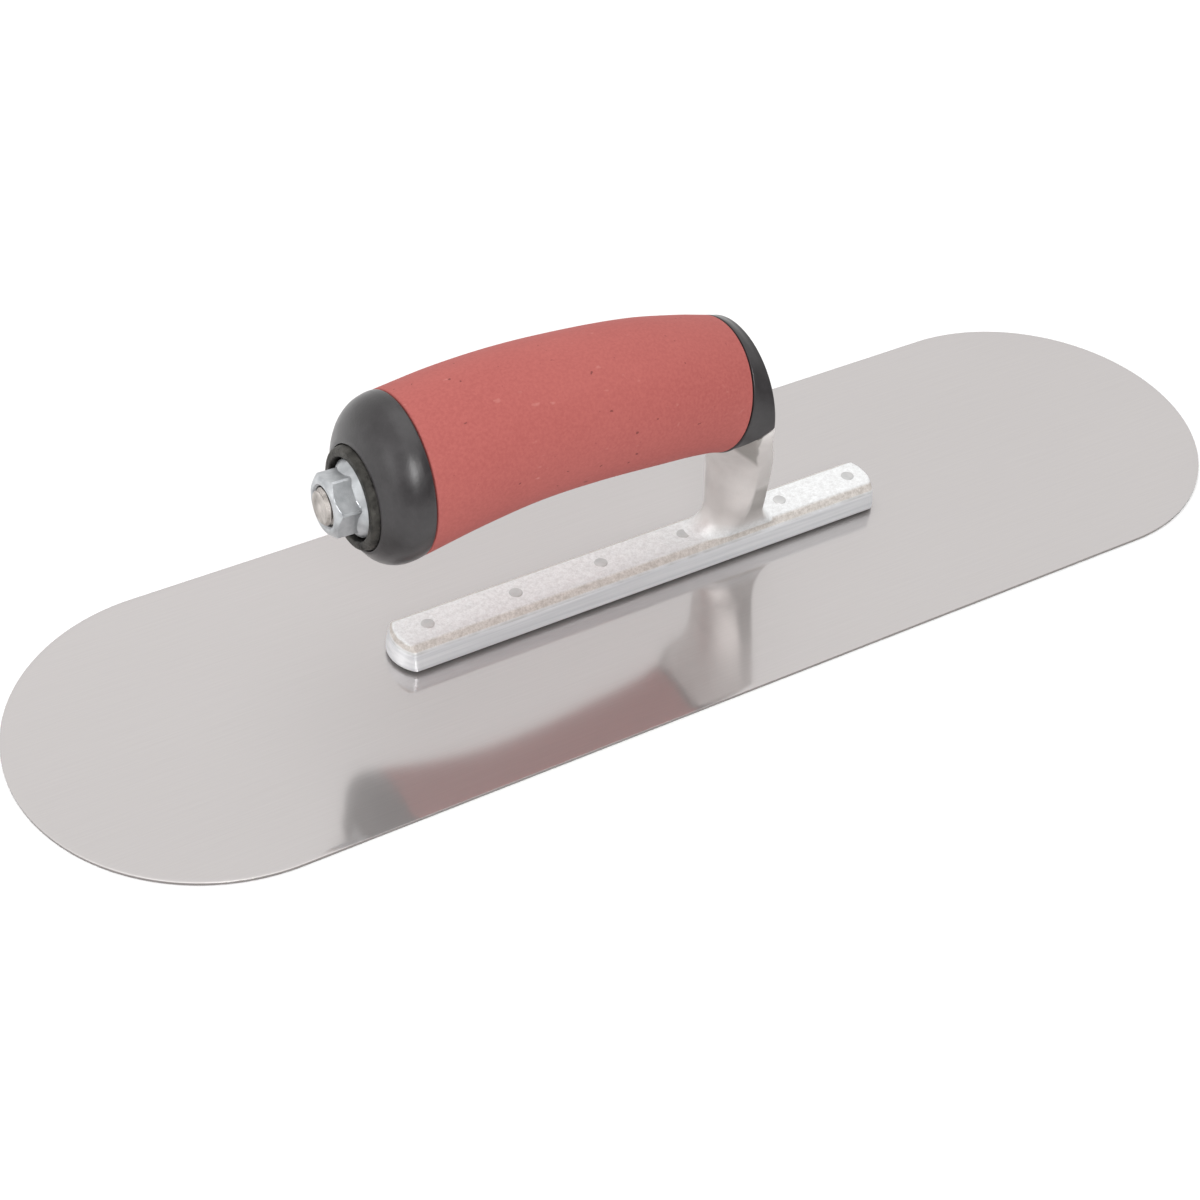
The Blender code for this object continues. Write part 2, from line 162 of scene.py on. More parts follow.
# %% [markdown]
# ## Writing shader maths as Python
#
# A procedural finish is a little formula: noise times a strength, plus a colour, and so on.  Drawing that
# as nodes one by one is slow to write and hard to read.  This small class wraps a socket so that + - and *
# add the Math nodes, and one method adds any other node.

# %% A socket that does sums
class Wire:
    """One output socket of a material's nodes, for sums on values."""

    def __init__(self, tree, socket):
        self.tree, self.socket = tree, socket

    def maths(self, operation, *values):
        return self.tree.add("ShaderNodeMath", {"operation": operation}, dict(enumerate(values)))

    def __add__(self, other):
        return self.maths("ADD", self, other)

    def __sub__(self, other):
        return self.maths("SUBTRACT", self, other)

    def __mul__(self, other):
        return self.maths("MULTIPLY", self, other)

    def __rsub__(self, other):
        return self.maths("SUBTRACT", other, self)

    __radd__, __rmul__ = __add__, __mul__

    def clamped(self, low, high):
        """0 at low and below, 1 at high and above, and a straight line between."""
        return self.tree.add(
            "ShaderNodeMapRange", {"clamp": True}, {"Value": self, "From Min": low, "From Max": high}
        )


class Finish:
    """A material whose nodes are made by add; shade fills the Principled shader's sockets."""

    def __init__(self, name):
        self.material = bpy.data.materials.new(name)
        self.material.use_nodes = True
        self.nodes = self.material.node_tree.nodes
        self.links = self.material.node_tree.links
        self.shader = self.nodes["Principled BSDF"]

    def put(self, socket, value):
        if isinstance(value, Wire):
            self.links.new(value.socket, socket)
        elif isinstance(value, tuple) and len(value) == 3 and socket.type == "RGBA":
            socket.default_value = (*value, 1.0)
        else:
            socket.default_value = value

    def add(self, kind, settings=None, inputs=None, output=0):
        """A node of that kind: its settings first, then its sockets' values or links, and one output as a
        Wire."""
        node = self.nodes.new(kind)
        for name, value in (settings or {}).items():
            setattr(node, name, value)
        for name, value in (inputs or {}).items():
            self.put(node.inputs[name], value)
        return Wire(self, node.outputs[output])

    def place(self, scale=(1.0, 1.0, 1.0)):
        """Object coordinates in metres, stretched by scale."""
        spot = self.add("ShaderNodeTexCoord", output="Object")
        return self.add("ShaderNodeMapping", {}, {"Vector": spot, "Scale": scale})

    def axis(self, letter):
        """One Object coordinate in metres: X runs towards the toe, Y across, and Z up from the underside."""
        spot = self.add("ShaderNodeTexCoord", output="Object")
        return self.add("ShaderNodeSeparateXYZ", {}, {"Vector": spot}, letter)

    def noise(self, scale, detail=3.0, rough=0.5, stretch=(1.0, 1.0, 1.0)):
        """Cloudy noise from 0 to 1, scale times a metre, finer along an axis with more stretch."""
        inputs = {"Vector": self.place(stretch), "Scale": scale, "Detail": detail, "Roughness": rough}
        return self.add("ShaderNodeTexNoise", {}, inputs)

    def mix(self, factor, low, high):
        """The colour low where factor is 0 and high where it is 1.  The node has several sockets of one name,
        so its colour ones go by number."""
        node = self.nodes.new("ShaderNodeMix")
        node.data_type = "RGBA"
        for at, value in ((0, factor), (6, low), (7, high)):
            self.put(node.inputs[at], value)
        return Wire(self, node.outputs[2])

    def bump(self, height, distance, strength=1.0, normal=None):
        """Tilts the surface as if it rose by height times distance, in metres."""
        inputs = {"Height": height, "Distance": distance, "Strength": strength}
        if normal:
            inputs["Normal"] = normal
        return self.add("ShaderNodeBump", {}, inputs)

    def shade(self, **sockets):
        for name, value in sockets.items():
            self.put(self.shader.inputs[name.replace("_", " ")], value)
        return self.material


# %% [markdown]
# ## Blade steel
#
# Spring steel is ground along its length and then buffed, so it is almost one even grey.  A hand above it
# shows as a soft shape inside a wide haze: the buffed ridges mirror, and the bottoms of the scratches
# scatter.  One roughness can't do both, so the finish mixes a fairly sharp metal with a very rough one, and
# a grain that is stretched along the blade decides a little more of one or the other.
#
# The sheet is bowed very slightly across its width, which moves a reflection by more than it moves the
# steel.  So the bow is given to the normals alone.  The cut edge of the sheet is painted darker than its
# faces, a painted shade line along the edge.

# %% Blade steel
GRAIN_STRETCH = (1.0, 60.0, 30.0)  # how much finer the grain is across the blade than along it
BOW = 0.68  # the blade's slight bow is BOW y ^ 2, in metres: it only turns the reflections
GRAIN_DEPTH = 0.00001
WALL_LOW, WALL_HIGH = 0.00004, 0.00072  # the cut edge lies between these heights
WALL_FADE = 0.00004  # and its look fades over this much, or half of it at the foot


def blade_steel():
    finish = Finish("blade_steel")
    grain = finish.noise(45.0, 4.0, 0.6, GRAIN_STRETCH)
    cloud = finish.noise(9.0, 2.0, 0.5, (1.0, 2.0, 1.0))
    tone = (grain * 0.4 + cloud * 0.6).clamped(0.3, 0.7)
    face = finish.mix(tone, (0.548, 0.526, 0.520), (0.564, 0.542, 0.536))
    across, height = finish.axis("Y"), finish.axis("Z")
    bowed = finish.bump(across * across, BOW)
    tilt = finish.bump(grain, GRAIN_DEPTH, 0.035, bowed)
    # Painted shade: the cut edge between these heights is coloured darker than the faces.
    below_face = 1.0 - height.clamped(WALL_HIGH, WALL_HIGH + WALL_FADE)
    edge_shade = height.clamped(WALL_LOW - WALL_FADE / 2, WALL_LOW) * below_face
    colour = finish.mix(edge_shade, face, (0.27, 0.25, 0.245))
    haze = finish.add(
        "ShaderNodeBsdfPrincipled",
        {},
        {"Base Color": colour, "Metallic": 0.55, "Roughness": 0.55, "Normal": tilt},
    )
    finish.shade(Base_Color=colour, Metallic=1.0, Roughness=0.085 + cloud * 0.03, Normal=tilt)
    both = finish.add("ShaderNodeMixShader", {}, {"Fac": 0.33 + grain * 0.04})
    finish.links.new(finish.shader.outputs["BSDF"], both.socket.node.inputs[1])
    finish.links.new(haze.socket, both.socket.node.inputs[2])
    finish.links.new(both.socket, finish.nodes["Material Output"].inputs["Surface"])
    return finish.material


BLADE_STEEL = blade_steel()

# %% [markdown]
# ## Cast aluminium
#
# The mounting is cast in sand, and its top and shoulders keep the sand's grain: a gritty, slightly warm
# grey.  The straight sides are filed and run smoother and cooler.  Where the bar meets the blade, a dark line
# is painted: partly dirt and polishing paste, and partly painted shade of the joint.  All three depend on the
# height above the blade, so the finish reads Z.
#
# Two more dark patches depend on X as well: the post's front is darker low down, and a painted shadow is
# tucked under the collar's slanting edge.

# %% Cast aluminium
# heights above the blade's underside, and distances towards the toe, in metres
SIDE_TOP = 0.0073  # where the filed side ends
BASE_DARK_LOW, BASE_DARK_HIGH = 0.0013, 0.0021  # the dirt and painted shade are full below the first height and gone above the second
SHOULDER_TOP = 0.0088
POST_BOTTOM = 0.0096
POST_FADE = 0.003
RIDGE = 0.0236  # the ridge between the post's side and its front, below LEAN_START
LEAN_START, LEAN_END, LEAN = 0.032, 0.048, 0.007  # between these heights the ridge goes back by LEAN
BEVEL_LINE, BEVEL_FADE = 0.0572, 0.0015  # X plus Z, where the painted shadow starts under the collar's bevel
DARK_FRONT_LOW, DARK_FRONT_HIGH = (0.012, 0.018), (0.0285, 0.0310)  # where the darker band low on the front comes in and goes out


def cast_aluminium():
    finish = Finish("cast_aluminium")
    ahead, height = finish.axis("X"), finish.axis("Z")
    sand = finish.noise(2200.0, 4.0, 0.7)
    grit = finish.noise(900.0, 3.0, 0.6)
    patch = finish.noise(110.0, 3.0, 0.55)
    streak = finish.noise(160.0, 3.0, 0.6, (0.12, 1.0, 5.0))
    side = 1.0 - height.clamped(SIDE_TOP - 0.0002, SIDE_TOP + 0.0002)
    above = height.clamped(SHOULDER_TOP - 0.0003, SHOULDER_TOP + 0.0002)
    shoulder = (1.0 - side) * (1.0 - above)
    post = height.clamped(POST_BOTTOM, POST_BOTTOM + POST_FADE)
    speck = (grit * 0.5 + sand * 0.5).clamped(0.38, 0.62)
    top = finish.mix(speck, (0.825, 0.835, 0.84), (0.66, 0.66, 0.66))
    sandy = finish.mix(speck, (0.69, 0.65, 0.615), (0.46, 0.42, 0.385))
    filed = finish.mix(streak.clamped(0.35, 0.65), (0.76, 0.775, 0.80), (0.92, 0.93, 0.95))
    tumbled = finish.mix(patch.clamped(0.3, 0.7), (0.71, 0.685, 0.67), (0.62, 0.595, 0.58))
    clean = finish.mix(post, finish.mix(side, finish.mix(shoulder, top, sandy), filed), tumbled)
    # Painted shade: a darker line just under the ledge where the filed side ends, broken up by noise.
    ledge_shade = side * height.clamped(SIDE_TOP - 0.0007, SIDE_TOP - 0.0004) * patch.clamped(0.35, 0.6) * 0.45
    # Partly dirt and polishing paste, and partly painted shade where the bar meets the blade.
    base_dirt_and_shade = (1.0 - (height + patch * 0.0004 - 0.0002).clamped(BASE_DARK_LOW, BASE_DARK_HIGH)) * 0.8
    lean = height.clamped(LEAN_START, LEAN_END) * LEAN
    front = (ahead + lean).clamped(RIDGE - 0.0003, RIDGE + 0.0003)
    # Painted shadow of the collar on the post, under its slanting edge.
    collar_shadow = (ahead + height).clamped(BEVEL_LINE, BEVEL_LINE + BEVEL_FADE) * (1.0 - front)
    # The post's front is darker low down, with a ragged upper edge.
    ragged = height + patch * 0.008
    low_front = height.clamped(*DARK_FRONT_LOW) * (1.0 - ragged.clamped(*DARK_FRONT_HIGH)) * front
    # The collar's painted shadow, and the darker band low on the post's front.
    collar_shadow_and_dark_front = (collar_shadow * (1.0 - front) * 0.55 + low_front * (0.22 + patch * 0.4)) * post
    darkened = finish.mix(collar_shadow_and_dark_front, clean, (0.17, 0.16, 0.14))
    colour = finish.mix(base_dirt_and_shade, finish.mix(ledge_shade, darkened, (0.34, 0.32, 0.29)), (0.085, 0.078, 0.066))
    return finish.shade(
        Base_Color=colour,
        Roughness=0.55 - side * 0.18 - post * 0.03 + patch * 0.08,
        Metallic=0.35 + side * 0.20 + post * 0.40 - base_dirt_and_shade * 0.3,
        Normal=finish.bump((sand * 0.5 + grit * 0.5) * (1.0 - side * 0.7 - post * 0.55), 0.00025, 0.55),
    )


CAST_ALUMINIUM = cast_aluminium()


# %% [markdown]
# ## Rivets, nut and rod
#
# Three more metals.  Rivets are ground off flush and read a shade darker than the casting.  The nut is
# bright zinc, and the rod's end is dull where it was cut.

# %% Small metals
def plain_metal(name, low, high, rough, grain_scale, depth, metallic=1.0):
    """A metal whose colour wanders between low and high.  The grain's scale is per metre and its depth in
    metres."""
    finish = Finish(name)
    grain = finish.noise(grain_scale, 4.0, 0.6)
    patch = finish.noise(grain_scale / 6.0, 2.0, 0.5)
    return finish.shade(
        Base_Color=finish.mix(patch.clamped(0.3, 0.7), low, high),
        Roughness=rough + grain * 0.12,
        Metallic=metallic,
        Normal=finish.bump(grain, depth, 0.4),
    )


RIVET_STEEL = plain_metal("rivet_steel", (0.50, 0.50, 0.50), (0.64, 0.635, 0.63), 0.48, 1300.0, 0.00020)
ZINC = plain_metal("zinc_plate", (0.39, 0.405, 0.42), (0.52, 0.535, 0.55), 0.33, 2600.0, 0.00012, 0.75)
ROD_STEEL = plain_metal("rod_steel", (0.26, 0.24, 0.22), (0.66, 0.62, 0.59), 0.42, 1500.0, 0.0012)
CUP_STEEL = plain_metal("cup_steel", (0.026, 0.025, 0.023), (0.100, 0.096, 0.088), 0.50, 1400.0, 0.0009)


# %% [markdown]
# ## Hard black plastic and soft red grip
#
# The core is a hard plastic with a satin moulded skin, a little scuffed where it is handled.  The grip is
# softer and duller: a fine pebble, faint smears along it from the mould, a few pale scuffs and tiny dark
# nicks.

# %% Plastics
def black_plastic():
    finish = Finish("black_plastic")
    pebble = finish.noise(1600.0, 3.0, 0.6)
    scuff = finish.noise(260.0, 4.0, 0.65)
    patch = finish.noise(50.0, 3.0, 0.5)
    worn = (scuff * 0.5 + patch * 0.5).clamped(0.45, 0.68)
    return finish.shade(
        Base_Color=finish.mix(worn, (0.018, 0.016, 0.017), (0.032, 0.029, 0.031)),
        Roughness=0.30 + worn * 0.10,
        Normal=finish.bump(pebble * 0.6 + scuff * 0.4, 0.00012, 0.4),
        Specular_IOR_Level=0.55,
    )


def red_grip():
    finish = Finish("red_grip")
    pebble = finish.noise(1300.0, 3.0, 0.6)
    smear = finish.noise(60.0, 3.0, 0.6, (0.25, 1.0, 1.0))
    patch = finish.noise(22.0, 2.0, 0.5)
    nick = finish.noise(520.0, 1.0, 0.4, (1.0, 1.0, 1.5))
    scuff = finish.noise(430.0, 2.0, 0.5, (0.6, 1.0, 1.0))
    tone = (smear * 0.5 + patch * 0.5).clamped(0.32, 0.68)
    red = finish.mix(tone, (0.348, 0.082, 0.074), (0.384, 0.100, 0.089))
    grainy = finish.mix(pebble.clamped(0.35, 0.65) * 0.35, red, (0.490, 0.142, 0.124))
    pale = finish.mix(scuff.clamped(0.70, 0.80) * 0.5, grainy, (0.55, 0.24, 0.21))
    nicked = finish.mix((1.0 - nick).clamped(0.750, 0.79), pale, (0.20, 0.05, 0.045))
    return finish.shade(
        Base_Color=nicked,
        Roughness=0.66 + pebble * 0.12,
        Normal=finish.bump(pebble * 0.5 + smear * 1.2, 0.00014, 0.5),
        Specular_IOR_Level=0.3,
    )


BLACK_PLASTIC = black_plastic()
RED_GRIP = red_grip()

# %% [markdown]
# ## The blade
#
# The blade is a sheet under a millimetre thick, so its edge is what gives it away: a sharp box edge looks
# cut from card, while a ground sheet has a tiny round that catches a line of light.  Each ring of the grid
# is the same outline, two half circles joined by straights, drawn in by a few hundredths as it goes round
# the edge.

# %% Blade
BLADE_THICKNESS = 0.8
BLADE_EDGE = 0.05  # the radius of its eased edges
BLADE_RIM = 1.5  # the width of the flat strip inside the edge
RIVET_RADIUS, RIVET_HEAD = 1.8, 2.9
GAP = 0.3  # left between two pieces that touch
rivet_x = [sum(corner[0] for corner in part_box(f"blade_rivet_{n}")) / 2 / MM for n in range(1, 7)]
print("rivets at x, mm:", [round(x, 1) for x in rivet_x])


def blade_grid(columns=96):
    """Rings of (inset, height): x = end centre + (half width - inset) cos a, y = (half width - inset) sin a,
    for a quarter turn to each side at either end."""
    low, high = (np.array(corner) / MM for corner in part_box("blade"))
    half = (high[1] - low[1]) / 2
    t = np.linspace(0.0, np.pi / 2, 5)
    inset, rise = BLADE_EDGE * (1 - np.sin(t)), BLADE_EDGE * (1 - np.cos(t))
    inset = np.concatenate([[BLADE_RIM], inset, inset[::-1], [BLADE_RIM]])
    height = np.concatenate([[0.0], rise, BLADE_THICKNESS - rise[::-1], [BLADE_THICKNESS]])
    a = np.linspace(-np.pi / 2, np.pi / 2, columns)[None, :]
    x = (high[0] - half) + (half - inset)[:, None] * np.cos(a)
    y = (half - inset)[:, None] * np.sin(a)
    x, y = np.concatenate([x, -x], 1), np.concatenate([y, -y], 1)
    return np.stack([x, y, np.broadcast_to(height[:, None], x.shape)], -1)


def upright_rings(x, heights, radii, columns=40):
    """Rings of those heights and radii about an upright line at x on the blade's centre line."""
    angle = np.linspace(0.0, 2 * np.pi, columns, endpoint=False)
    across = np.asarray(radii)[:, None] * np.sin(angle)
    along = x + np.asarray(radii)[:, None] * np.cos(angle)
    return np.stack([along, across, np.broadcast_to(np.asarray(heights)[:, None], across.shape)], -1)


def temporary(name, mesh):
    """An unfinished object, for a Boolean or a remesh."""
    outward(mesh)
    made = bpy.data.objects.new(name, mesh)
    bpy.context.scene.collection.objects.link(made)
    return made


def baked(work, *tools):
    """A mesh from an object with its modifiers applied; the object and its tools are removed."""
    graph = bpy.context.evaluated_depsgraph_get()
    made = bpy.data.meshes.new_from_object(work.evaluated_get(graph))
    for item in (work, *tools):
        bpy.data.objects.remove(item, do_unlink=True)
    return made


def boolean(mesh, operation, *others):
    """The mesh with others taken from it or added to it, worked out once and kept as plain faces."""
    work = temporary("work", mesh)
    tools = [temporary("tool", other) for other in others]
    for tool in tools:
        modifier = work.modifiers.new("boolean", "BOOLEAN")
        modifier.object, modifier.operation, modifier.solver = tool, operation, "EXACT"
    return baked(work, *tools)


def rivet_holes():
    """A cutter for each rivet: the countersink's cone, then the shank's hole, a gap wider than the rivet."""
    heights = [-1.0, 0.0, BLADE_THICKNESS, 12.0]
    radii = [RIVET_HEAD + GAP, RIVET_HEAD + GAP, RIVET_RADIUS + GAP, RIVET_RADIUS + GAP]
    return [grid_mesh("hole", upright_rings(x, heights, radii)) for x in rivet_x]


blade_mesh = boolean(grid_mesh("blade_sheet", blade_grid()), "DIFFERENCE", *rivet_holes())
piece("blade_sheet", blade_mesh, BLADE_STEEL, "blade_steel", "blade")

# %% [markdown]
# ## The handle's skin
#
# The handle swells, arches and flares, yet each slice across it is a circle.  So its skin is a circle
# carried along the rod's line: at each distance from the front, a rise above the line, a radius, and how
# far the slice leans.  A smooth curve through a few knots gives all three at once.

# %% Knots of the skin
# distance behind the front, rise above the rod's line, radius, lean in degrees
SKIN = np.array([
    (0.0, 0.0, 19.3, 2.15),
    (2.5, 1.2, 18.5, -1.5),
    (7.0, 3.4, 17.5, -8.0),
    (16.0, 5.5, 17.8, -7.0),
    (29.5, 7.4, 18.6, -3.5),
    (47.0, 8.6, 19.0, 0.0),
    (64.5, 8.6, 19.4, 1.5),
    (81.0, 6.8, 20.0, 1.5),
    (96.5, 3.8, 20.5, 0.0),
])
BUTT = np.array([
    (96.5, 3.8, 20.5, 0.0),
    (98.6, 3.4, 20.6, 0.0),
    (101.3, 2.7, 20.2, 0.0),
    (103.8, 1.9, 18.9, 0.0),
    (105.6, 1.1, 17.0, 0.0),
    (106.8, 0.4, 14.9, 0.0),
    (107.4, 0.0, 13.7, 0.0),
])


def smooth(knots, at):
    """A cubic between each pair of knots, whose slope at a knot is that of the line through its two
    neighbours."""
    at = np.clip(np.asarray(at, float), knots[0, 0], knots[-1, 0])
    i = np.clip(np.searchsorted(knots[:, 0], at, side="right") - 1, 0, len(knots) - 2)
    start, end = knots[i], knots[i + 1]
    before, after = knots[np.maximum(i - 1, 0)], knots[np.minimum(i + 2, len(knots) - 1)]
    span = (end - start)[:, :1]
    t = (at[:, None] - start[:, :1]) / span
    slope_in = (end - before) / (end - before)[:, :1] * span
    slope_out = (after - start) / (after - start)[:, :1] * span
    return (
        (2 * t**3 - 3 * t**2 + 1) * start
        + (t**3 - 2 * t**2 + t) * slope_in
        + (3 * t**2 - 2 * t**3) * end
        + (t**3 - t**2) * slope_out
    )


def skin_rings(knots, at, inset=0.0, columns=144):
    """Rings of the skin: radius less inset round the risen line, each slice turned by its lean, so that
    along = -distance - radius sin a sin lean, and up = rise + radius sin a cos lean."""
    values = smooth(knots, at)
    rise, radius, lean = (values[:, k][:, None] for k in (1, 2, 3))
    radius = radius - np.broadcast_to(np.asarray(inset, float), (len(values),))[:, None]
    lean = np.radians(lean)
    angle = np.linspace(0.0, 2 * np.pi, columns, endpoint=False)[None, :]
    up = radius * np.sin(angle)
    along = -np.asarray(at, float)[:, None] - up * np.sin(lean)
    return from_handle(along, radius * np.cos(angle), rise + up * np.cos(lean))


def eased_edge(start, end, radius, steps=7):
    """Distances and insets for an edge rounded by a quarter circle: inset = radius (1 - cos t) as t goes from
    90 degrees to 0 while the distance goes from start towards end by radius (1 - sin t)."""
    t = np.linspace(np.pi / 2, 0.0, steps)
    direction = 1.0 if end > start else -1.0
    return start + direction * radius * (1 - np.sin(t)), radius * (1 - np.cos(t))


# %% [markdown]
# ## The red grip
#
# The grip is moulded over the core and ends in a tight rounded edge at both seams.  The outer skin, both
# rounded edges and the inner wall are one closed grid: out along the skin, and back along the core.

# %% Grip
GRIP_START, GRIP_END = 7.15, 96.35
GRIP_WALL = 2.6
GRIP_EASE = 0.5  # the radius of its rounded ends


def grip_grid():
    front_at, front_in = eased_edge(GRIP_START, GRIP_END, GRIP_EASE)
    back_at, back_in = eased_edge(GRIP_END, GRIP_START, GRIP_EASE)
    middle = np.linspace(front_at[-1], back_at[-1], 90)[1:-1]
    at = np.concatenate([front_at, middle, back_at[::-1]])
    inset = np.concatenate([front_in, np.zeros(len(middle)), back_in[::-1]])
    outer = skin_rings(SKIN, at, inset)
    inner_at = np.linspace(GRIP_END, GRIP_START, 30)
    return np.concatenate([outer, skin_rings(SKIN, inner_at, GRIP_WALL)])


piece("grip", grid_mesh("grip", grip_grid(), rows_wrap=True), RED_GRIP, "soft_red_rubber", "grip_sleeve")

# %% [markdown]
# ## The hard core
#
# The black core shows at both ends: as the flared collar by the post, and as the domed butt by the nut.
# Under the grip it is a plain groove, and down its middle run a square socket for the casting's stub and a
# bore for the rod.  All of that is again one closed grid.  The collar's lower front is then bevelled, to
# sit on the casting.

# %% Core
# distances behind the front face, mm
COLLAR_END, BUTT_START, BUTT_END = 6.85, 96.65, 107.4
CUP_SEAT = 105.2
STUB_LENGTH = 20.0
# radii and half widths, mm
ROD_RADIUS = 4.76
CUP_RADIUS = 12.9
STUB_HALF = 7.0
FACE_BAND = 4.0  # the flat front face of the collar starts this far inside its rim
RIM_EASE, SEAM_EASE = 0.55, 0.45
# The bevel's line in the handle's axes, along and up: back from the front face, down a slope, then down the
# seam.
BEVEL_TOP = 0.6
BEVEL_BACK = (-7.6, -7.15)
BEVEL_FOOT = (-12.1, -40.0)


def straight_ring(along, radius, square=0.0, columns=144):
    """One ring round the rod's line, radius times (cos a, sin a), each raised to 2 / (2 + 6 square) with its
    sign kept: a circle for square 0, and a square with rounded corners for 1."""
    angle = np.linspace(0.0, 2 * np.pi, columns, endpoint=False)
    power = 2.0 / (2.0 + 6.0 * square)
    across, up = (radius * np.sign(v) * np.abs(v) ** power for v in (np.cos(angle), np.sin(angle)))
    return from_handle(np.full(columns, float(along)), across, up)[None]


def core_grid():
    rim_at, rim_in = eased_edge(0.0, COLLAR_END, RIM_EASE)
    collar_at, collar_in = eased_edge(COLLAR_END, 0.0, SEAM_EASE)
    butt_at, butt_in = eased_edge(BUTT_START, BUTT_END, SEAM_EASE)
    collar_middle = np.linspace(rim_at[-1], collar_at[-1], 16)[1:-1]
    butt_middle = np.linspace(butt_at[-1], BUTT_END, 30)[1:]
    groove = GRIP_WALL + GAP
    groove_at = np.linspace(COLLAR_END, BUTT_START, 30)
    cup_seat = -CUP_SEAT + GAP
    return np.concatenate([
        straight_ring(0.0, STUB_HALF + GAP, 1.0),
        skin_rings(SKIN, [0.0], FACE_BAND),
        skin_rings(SKIN, rim_at, rim_in),
        skin_rings(SKIN, collar_middle),
        skin_rings(SKIN, collar_at[::-1], collar_in[::-1]),
        skin_rings(SKIN, groove_at, groove),
        skin_rings(BUTT, butt_at, butt_in),
        skin_rings(BUTT, butt_middle),
        straight_ring(-BUTT_END, CUP_RADIUS + GAP),
        straight_ring(cup_seat, CUP_RADIUS + GAP),
        straight_ring(cup_seat, ROD_RADIUS + GAP),
        straight_ring(-STUB_LENGTH - GAP, ROD_RADIUS + GAP),
        straight_ring(-STUB_LENGTH - GAP, STUB_HALF + GAP, 1.0),
    ])


def bevelled(mesh, clearance):
    """Takes away what lies under the bevel's line and in front of it, with a five-sided prism across the
    handle.  Moving a corner of 45 degrees out by a clearance shifts it by the tangent of half that angle."""
    front, corner = 12.0, 0.414 * clearance
    side = np.array([
        (front, BEVEL_TOP + clearance),
        (-corner, BEVEL_TOP + clearance),
        (BEVEL_BACK[0] - clearance, BEVEL_BACK[1] + corner),
        (BEVEL_FOOT[0] - clearance, BEVEL_FOOT[1]),
        (front, BEVEL_FOOT[1]),
    ])
    block = from_handle(side[None, :, 0], np.array([[-40.0], [40.0]]), side[None, :, 1])
    return boolean(mesh, "DIFFERENCE", grid_mesh("bevel", block))


piece(
    "core",
    bevelled(grid_mesh("core", core_grid(), rows_wrap=True), GAP),
    BLACK_PLASTIC,
    "hard_black_plastic",
    "handle_core",
)

# %% [markdown]
# ## Cup washer, nut and rod
#
# A cup washer is let into the butt, so that the nut pulls on steel and not on plastic.  The nut's outline
# is put together from simple shapes: at each place along it, the larger of a hexagon and the flange's cone,
# and never more than the chamfer's cone at its end.

# %% Cup washer
CUP_FLOOR, CUP_RIM, CUP_RIM_RADIUS, CUP_BORE = 106.4, 109.2, 12.4, 10.3
CUP_WALL = 1.2


def cup_profile():
    """Corners of (along, radius), from the middle of the floor's hole, round the outside and back inside."""
    corners = [
        (-CUP_FLOOR + CUP_WALL / 2, ROD_RADIUS + GAP),
        (-CUP_FLOOR + CUP_WALL, ROD_RADIUS + GAP),
        (-CUP_FLOOR + CUP_WALL, CUP_RADIUS),
        (-BUTT_END, CUP_RADIUS),
        (-CUP_RIM, CUP_RIM_RADIUS),
        (-CUP_RIM, CUP_BORE),
        (-CUP_FLOOR, CUP_BORE),
        (-CUP_FLOOR, ROD_RADIUS + GAP),
    ]
    return rounded(corners, [0.1, 0.3, 0.2, 0.6, 0.5, 0.5], 6)


piece(
    "cup_washer_turned",
    grid_mesh("cup", turned(cup_profile(), 96), rows_wrap=True),
    CUP_STEEL,
    "black_steel",
    "cup_washer",
)

# %% Flange nut
NUT_FLATS, NUT_HEIGHT = 14.29, 9.0
NUT_CORNER = 8.05  # the radius its corners are worn to
NUT_SEAT = -CUP_FLOOR - GAP
NUT_TURN = math.radians(42.5)
# distances from the seat and radii: the flange's cone, and the cone that chamfers the far end
FLANGE = ([0.0, 0.12, 0.4, 1.2, 1.45, 3.4, 3.6], [9.3, 9.5, 9.7, 9.7, 9.45, 7.3, 6.0])
CHAMFER = ([0.0, 7.7, 8.92, NUT_HEIGHT], [9.9, 8.2, 6.7, 6.5])


def nut_grid(columns=144):
    """Rings round the rod's line.  A hexagon's radius is half its flats over the cosine of the angle from the
    nearest flat; the flange's radius falls along a cone, and the chamfer's cone trims the corners at the
    end."""
    into = np.concatenate([
        [0.0, 0.12, 0.4, 0.8, 1.2, 1.35, 1.45], np.linspace(1.6, 3.6, 14), [4.4, 5.4, 6.4, 7.2],
        np.linspace(7.5, 8.92, 14), [NUT_HEIGHT],
    ])
    angle = np.linspace(0.0, 2 * np.pi, columns, endpoint=False)
    from_flat = (angle - NUT_TURN) % (np.pi / 3) - np.pi / 6
    hexagon = np.minimum(NUT_FLATS / 2 / np.cos(from_flat), NUT_CORNER)[None, :]
    flange, chamfer = (np.interp(into, *cone)[:, None] for cone in (FLANGE, CHAMFER))
    outer = np.minimum(np.maximum(hexagon, flange), chamfer)
    along = (NUT_SEAT - into)[:, None]
    body = from_handle(along, outer * np.cos(angle), outer * np.sin(angle))
    bore = ROD_RADIUS + GAP
    end = NUT_SEAT - NUT_HEIGHT
    mouth = [(end, bore + 0.5), (end + 0.5, bore), (NUT_SEAT - 0.4, bore), (NUT_SEAT, bore + 0.4)]
    return np.concatenate([body, turned(mouth, columns)])


nut_mesh = grid_mesh("nut", nut_grid(), rows_wrap=True)
piece("nut", nut_mesh, ZINC, "zinc_plated_steel", "flange_nut", sharp=28)

# %% Rod
ROD_END, ROD_INNER = -116.6, -2.0
THREAD_START, THREAD_DEPTH = -99.0, 0.85
PITCH = 25.4 / 16


